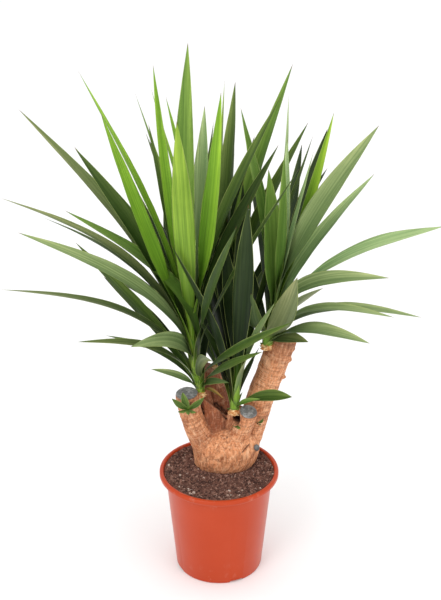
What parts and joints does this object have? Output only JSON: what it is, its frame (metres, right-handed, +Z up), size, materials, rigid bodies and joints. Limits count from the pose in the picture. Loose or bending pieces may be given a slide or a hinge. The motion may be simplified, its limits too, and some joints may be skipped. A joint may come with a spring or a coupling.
{
  "type": "potted yucca",
  "caption": "Tall potted yucca: a branching, sawn-off woody cane in a plastic nursery pot of soil, with sealed cuts and tufts of long arching sword-shaped leaves.",
  "frame": {"origin": "middle of the pot's foot, on the surface that the pot stands on", "axes": "+Z up along the pot's axis, +X to the right of the plant as seen from its front, +Y to the back"},
  "size_m": [0.8491, 0.6945, 1.0701],
  "materials": {
    "terracotta_plastic": "satin terracotta-coloured moulded plastic",
    "peat": "rough, dark, crumbly potting soil",
    "bark": "rough, fibrous, tan to orange-brown bark",
    "grey_wax": "matte grey sealing wax",
    "leaf_green": "semi-gloss green leaf with a thin pale margin"
  },
  "bodies": {
    "root": {"pot": "terracotta_plastic", "soil": "peat", "trunk": "bark", "wax_left_stub": "grey_wax", "wax_front_stub": "grey_wax", "wax_tall_cane": "grey_wax", "wax_side_knot": "grey_wax", "shoot_front": "leaf_green", "shoot_left": "leaf_green", "shoot_right": "leaf_green", "shoot_rear": "leaf_green", "tuft_left": "leaf_green", "bud_front": "leaf_green", "bud_right": "leaf_green"}
  },
  "joints": []
}
